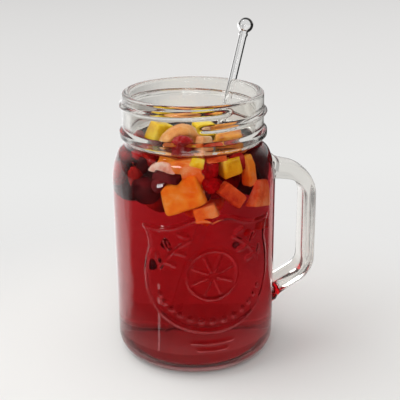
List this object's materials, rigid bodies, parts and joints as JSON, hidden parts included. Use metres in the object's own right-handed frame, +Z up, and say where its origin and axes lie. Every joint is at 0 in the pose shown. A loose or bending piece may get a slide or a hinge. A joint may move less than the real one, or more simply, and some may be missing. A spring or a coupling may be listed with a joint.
{
  "type": "jar mug of italian soda",
  "caption": "Clear screw-neck glass jar mug with a handle, filled with red italian soda, mixed fruit floating at the top and a ball-topped clear stirrer leaning in it.",
  "frame": {"origin": "middle of the foot ring, on the plane it stands on", "axes": "+Z up along the jar's axis, +X towards the handle, -Y towards the front face"},
  "size_m": [0.1006, 0.0786, 0.1613],
  "materials": {
    "pressed_glass": "polished, clear pressed glass",
    "red_soda": "clear red liquid",
    "clear_stirrer": "clear, polished",
    "mango": "wet cut fruit",
    "melon": "wet cut fruit",
    "peach": "wet cut fruit",
    "raspberry": "wet berry",
    "apple": "wet cut fruit",
    "strawberry": "wet cut fruit"
  },
  "bodies": {
    "root": {"glass_mug": "pressed_glass", "drink": "red_soda", "stirrer": "clear_stirrer", "mango_left": "mango", "mango_right": "mango", "melon_wedge": "melon", "peach_chunk": "peach", "raspberry": "raspberry", "apple_cube": "apple", "strawberry": "strawberry"}
  },
  "joints": []
}
